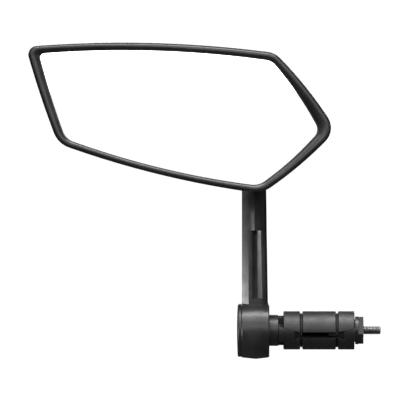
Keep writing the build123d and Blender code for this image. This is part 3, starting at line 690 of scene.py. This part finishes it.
# ---------------------------------------------------------------- floor, light and camera
IMAGE_WIDTH_MM = 190.5
VIEW_CENTRE = Vector((-33.0, 0.0, 62.05)) * MM
LENS = 1000.0
FLOOR_Z = -0.16
FLOOR_R = 0.6
DOME_R = 4.0
# Each light's name, place and size in metres, and power in watts.
LIGHTS = (
    ("key_light", (-0.03, -0.30, 1.1), (1.0, 0.5), 22.0),
    ("front_light", (-0.2, -0.75, 0.85), (1.5, 0.4), 6.5),
    ("low_light", (-0.03, -1.06, 0.34), (1.2, 0.4), 4.0),
    ("bounce_light", (0.0, 0.0, -1.2), (4.0, 4.0), 5.0),
    ("back_light", (-0.05, 1.6, 0.4), (1.4, 0.5), 9.0),
    ("right_light", (1.15, -0.3, 0.02), (0.5, 0.3), 0.9),
)


def soft_box(name, place, size, power):
    """A rectangular area lamp that faces the middle of the view."""
    lamp = bpy.data.lights.new(name, "AREA")
    lamp.shape = "RECTANGLE"
    lamp.size, lamp.size_y = size
    lamp.energy = power
    made = bpy.data.objects.new(name, lamp)
    made.location = place
    made.rotation_euler = (Vector(place) - VIEW_CENTRE).to_track_quat("Z", "Y").to_euler()
    made.visible_camera = False
    bpy.context.scene.collection.objects.link(made)
    return made


def light_only(source, name, *lit):
    """Keeps a light's effect to some pieces."""
    receivers = bpy.data.collections.new(name)
    for piece in lit:
        receivers.objects.link(piece)
    source.light_linking.receiver_collection = receivers


def make_camera():
    camera = bpy.data.cameras.new("camera")
    camera.lens = LENS
    camera.sensor_width = 36.0
    camera.clip_end = 20.0
    made = bpy.data.objects.new("camera", camera)
    distance = IMAGE_WIDTH_MM * MM * LENS / camera.sensor_width
    made.location = VIEW_CENTRE + Vector((0.0, -distance, 0.0))
    made.rotation_euler = (math.radians(90.0), 0.0, 0.0)
    bpy.context.scene.collection.objects.link(made)
    bpy.context.scene.camera = made


def make_floor():
    """A plain pale disc, below the head when the arm hangs down."""
    made, shader = material("pale_floor", (0.86, 0.86, 0.86), 0.8)
    grain = noise(made, texture_place(made), 30.0)
    made.node_tree.links.new(
        tint(made, grain, (0.85, 0.85, 0.85), (0.88, 0.88, 0.88)), shader.inputs["Base Color"]
    )
    bpy.ops.mesh.primitive_circle_add(vertices=96, radius=FLOOR_R, fill_type="NGON")
    floor = bpy.context.object
    floor.name = "floor"
    floor.location = (VIEW_CENTRE.x, 0.0, FLOOR_Z)
    floor.data.materials.append(made)
    floor.visible_diffuse = False
    floor.visible_glossy = False
    floor.visible_shadow = False


def make_dome(glass):
    """White studio wall all round, for the glass alone to reflect, brighter towards the front."""
    made, shader = material("white_wall", (0.0, 0.0, 0.0), 1.0, specular=0.0)
    place = texture_place(made)
    split = made.node_tree.nodes.new("ShaderNodeSeparateXYZ")
    made.node_tree.links.new(place, split.inputs["Vector"])
    level = spread(made, split.outputs["Y"], 1.1, 0.45, -0.9 * DOME_R, 0.1 * DOME_R)
    made.node_tree.links.new(level, shader.inputs["Emission Strength"])
    shader.inputs["Emission Color"].default_value = (1.0, 1.0, 1.0, 1.0)
    bpy.ops.mesh.primitive_uv_sphere_add(segments=48, ring_count=24, radius=DOME_R)
    dome = bpy.context.object
    dome.name = "white_wall"
    dome.location = VIEW_CENTRE
    dome.data.materials.append(made)
    dome.visible_camera = False
    dome.visible_diffuse = False
    dome.visible_shadow = False
    light_only(dome, "seen_in_glass", glass)


def make_world(seen, lit):
    """Pale surroundings: bright as a backdrop, dimmer as a source of light."""
    world = bpy.data.worlds.new("studio")
    world.use_nodes = True
    bpy.context.scene.world = world
    tree = world.node_tree
    background = tree.nodes["Background"]
    background.inputs["Color"].default_value = (1.0, 1.0, 1.0, 1.0)
    path = tree.nodes.new("ShaderNodeLightPath")
    level = tree.nodes.new("ShaderNodeMapRange")
    level.inputs["To Min"].default_value = lit
    level.inputs["To Max"].default_value = seen
    tree.links.new(path.outputs["Is Camera Ray"], level.inputs["Value"])
    tree.links.new(level.outputs["Result"], background.inputs["Strength"])


make_camera()
make_floor()
make_dome(glass)
make_world(seen=1.05, lit=0.07)
for light in LIGHTS:
    soft_box(*light)
left_light = soft_box("left_light", (-1.15, -0.22, -0.08), (0.4, 0.3), 8.5)
light_only(left_light, "lit_from_left", nodes["arm"], nodes["hub_cap"])
arm_light = soft_box("arm_light", (-0.75, -0.75, 0.6), (0.3, 0.3), 2.5)
light_only(arm_light, "arm_front", nodes["arm"])
bpy.context.scene.view_settings.view_transform = "Standard"
